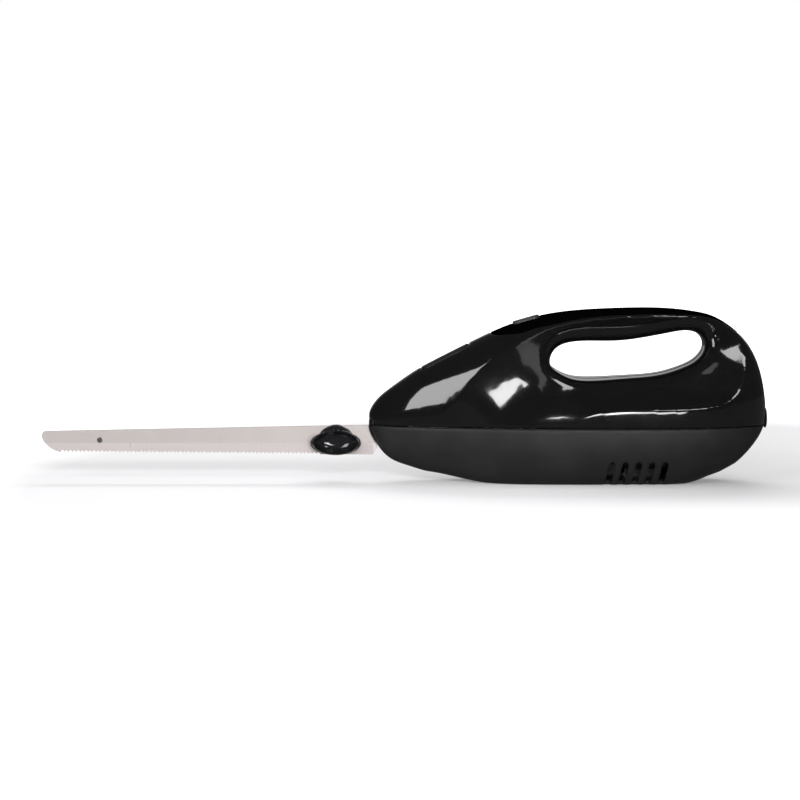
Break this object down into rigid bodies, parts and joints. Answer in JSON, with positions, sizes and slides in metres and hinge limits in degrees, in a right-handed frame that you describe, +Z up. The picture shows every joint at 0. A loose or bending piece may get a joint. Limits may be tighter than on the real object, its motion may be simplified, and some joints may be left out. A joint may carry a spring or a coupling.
{
  "type": "electric carving knife",
  "caption": "Electric carving knife with a hollow-handled motor body, twin serrated blades side by side, oval blade guards and thumb buttons.",
  "frame": {"origin": "on the flat base of the lower housing, under the front of the hand opening", "axes": "+X to the rear of the handle, -X to the blade tips, +Z up, -Y to the left side"},
  "size_m": [0.4599, 0.0674, 0.1108],
  "materials": {
    "gloss_black": "high gloss",
    "housing_grey": "satin",
    "grip_rubber": "soft matt",
    "button_plastic": "satin, ribbed",
    "release_plastic": "satin",
    "collar_plastic": "matt",
    "gland_rubber": "matt",
    "blade_steel": "satin ground",
    "rivet_steel": "dull",
    "guard_plastic": "polished",
    "screw_steel": "zinc plated",
    "drive_plastic": "moulded",
    "spring_steel": "bright",
    "gear_nylon": "moulded nylon",
    "shaft_steel": "ground",
    "bearing_bronze": "sintered",
    "lamination_steel": "laminated",
    "winding_copper": "enamelled",
    "fan_plastic": "moulded",
    "holder_brass": "bright",
    "brush_carbon": "dull",
    "switch_plastic": "moulded",
    "board_green": "lacquered",
    "capacitor_yellow": "epoxy",
    "lead_insulation": "smooth"
  },
  "bodies": {
    "root": {"axle_bush_left": "bearing_bronze", "axle_bush_right": "bearing_bronze", "brush_holder_left": "holder_brass", "brush_holder_right": "holder_brass", "brush_spring_left": "spring_steel", "brush_spring_right": "spring_steel", "button_spring": "spring_steel", "capacitor": "capacitor_yellow", "carbon_brush_left": "brush_carbon", "carbon_brush_right": "brush_carbon", "circuit_board": "board_green", "cord_gland": "gland_rubber", "field_coil_lower": "winding_copper", "field_coil_upper": "winding_copper", "field_stack": "lamination_steel", "front_bearing": "bearing_bronze", "gear_frame": "drive_plastic", "grip_insert": "grip_rubber", "handle_lead": "lead_insulation", "housing_screws": "screw_steel", "lower_housing": "housing_grey", "motor_lead": "lead_insulation", "nose_collar": "collar_plastic", "rear_bearing": "bearing_bronze", "rear_bracket": "shaft_steel", "release_spring": "spring_steel", "slider_guide": "drive_plastic", "supply_lead": "lead_insulation", "switch_body": "switch_plastic", "upper_shell_left": "gloss_black", "upper_shell_right": "gloss_black"},
    "armature": {"motor_shaft": "shaft_steel", "worm": "shaft_steel", "armature_core": "lamination_steel", "armature_windings": "winding_copper", "commutator": "winding_copper", "cooling_fan": "fan_plastic"},
    "worm_wheel": {"worm_wheel": "gear_nylon", "eccentric_left": "gear_nylon", "eccentric_right": "gear_nylon", "wheel_axle": "shaft_steel"},
    "left_drive": {"drive_arm_left": "drive_plastic", "latch_left": "spring_steel"},
    "right_drive": {"drive_arm_right": "drive_plastic", "latch_right": "spring_steel"},
    "left_blade": {"blade_left": "blade_steel", "guard_left": "guard_plastic", "tip_rivet": "rivet_steel"},
    "right_blade": {"blade_right": "blade_steel", "guard_right": "guard_plastic"},
    "power_button": {"power_button": "button_plastic"},
    "switch_plunger": {"switch_plunger": "switch_plastic"},
    "release_button": {"release_button": "release_plastic"}
  },
  "joints": [
    {"name": "armature_spin", "type": "hinge", "parent": "root", "child": "armature", "pos_m": [0, 0, 0.031], "axis": [1, 0, 0], "continuous": true},
    {"name": "worm_wheel_spin", "type": "hinge", "parent": "root", "child": "worm_wheel", "pos_m": [-0.062, 0, 0.0535], "axis": [0, 1, 0], "continuous": true},
    {"name": "left_drive_slide", "type": "slide", "parent": "root", "child": "left_drive", "axis": [1, 0, 0], "range_m": [-0.0045, 0.0045]},
    {"name": "right_drive_slide", "type": "slide", "parent": "root", "child": "right_drive", "axis": [1, 0, 0], "range_m": [-0.0045, 0.0045]},
    {"name": "left_blade_pull", "type": "slide", "parent": "left_drive", "child": "left_blade", "axis": [-1, 0, 0], "range_m": [0, 0.06]},
    {"name": "right_blade_pull", "type": "slide", "parent": "right_drive", "child": "right_blade", "axis": [-1, 0, 0], "range_m": [0, 0.06]},
    {"name": "power_button_press", "type": "slide", "parent": "root", "child": "power_button", "axis": [0.2756, 0, -0.9613], "range_m": [0, 0.002], "stiffness_N_per_m": 400, "springref_m": -0.0005, "deforming": ["button_spring"]},
    {"name": "switch_plunger_press", "type": "slide", "parent": "root", "child": "switch_plunger", "axis": [0.2756, 0, -0.9613], "range_m": [0, 0.002]},
    {"name": "release_button_press", "type": "slide", "parent": "root", "child": "release_button", "axis": [0.4695, 0, -0.8829], "range_m": [0, 0.003], "stiffness_N_per_m": 400, "springref_m": -0.0005, "deforming": ["release_spring"]}
  ],
  "couplings": [
    {"joint": "worm_wheel_spin", "follows": "armature_spin", "ratio": 0.027778},
    {"joint": "right_drive_slide", "follows": "left_drive_slide", "ratio": -1},
    {"joint": "right_blade_pull", "follows": "left_blade_pull", "ratio": 1},
    {"joint": "switch_plunger_press", "follows": "power_button_press", "ratio": 1}
  ]
}
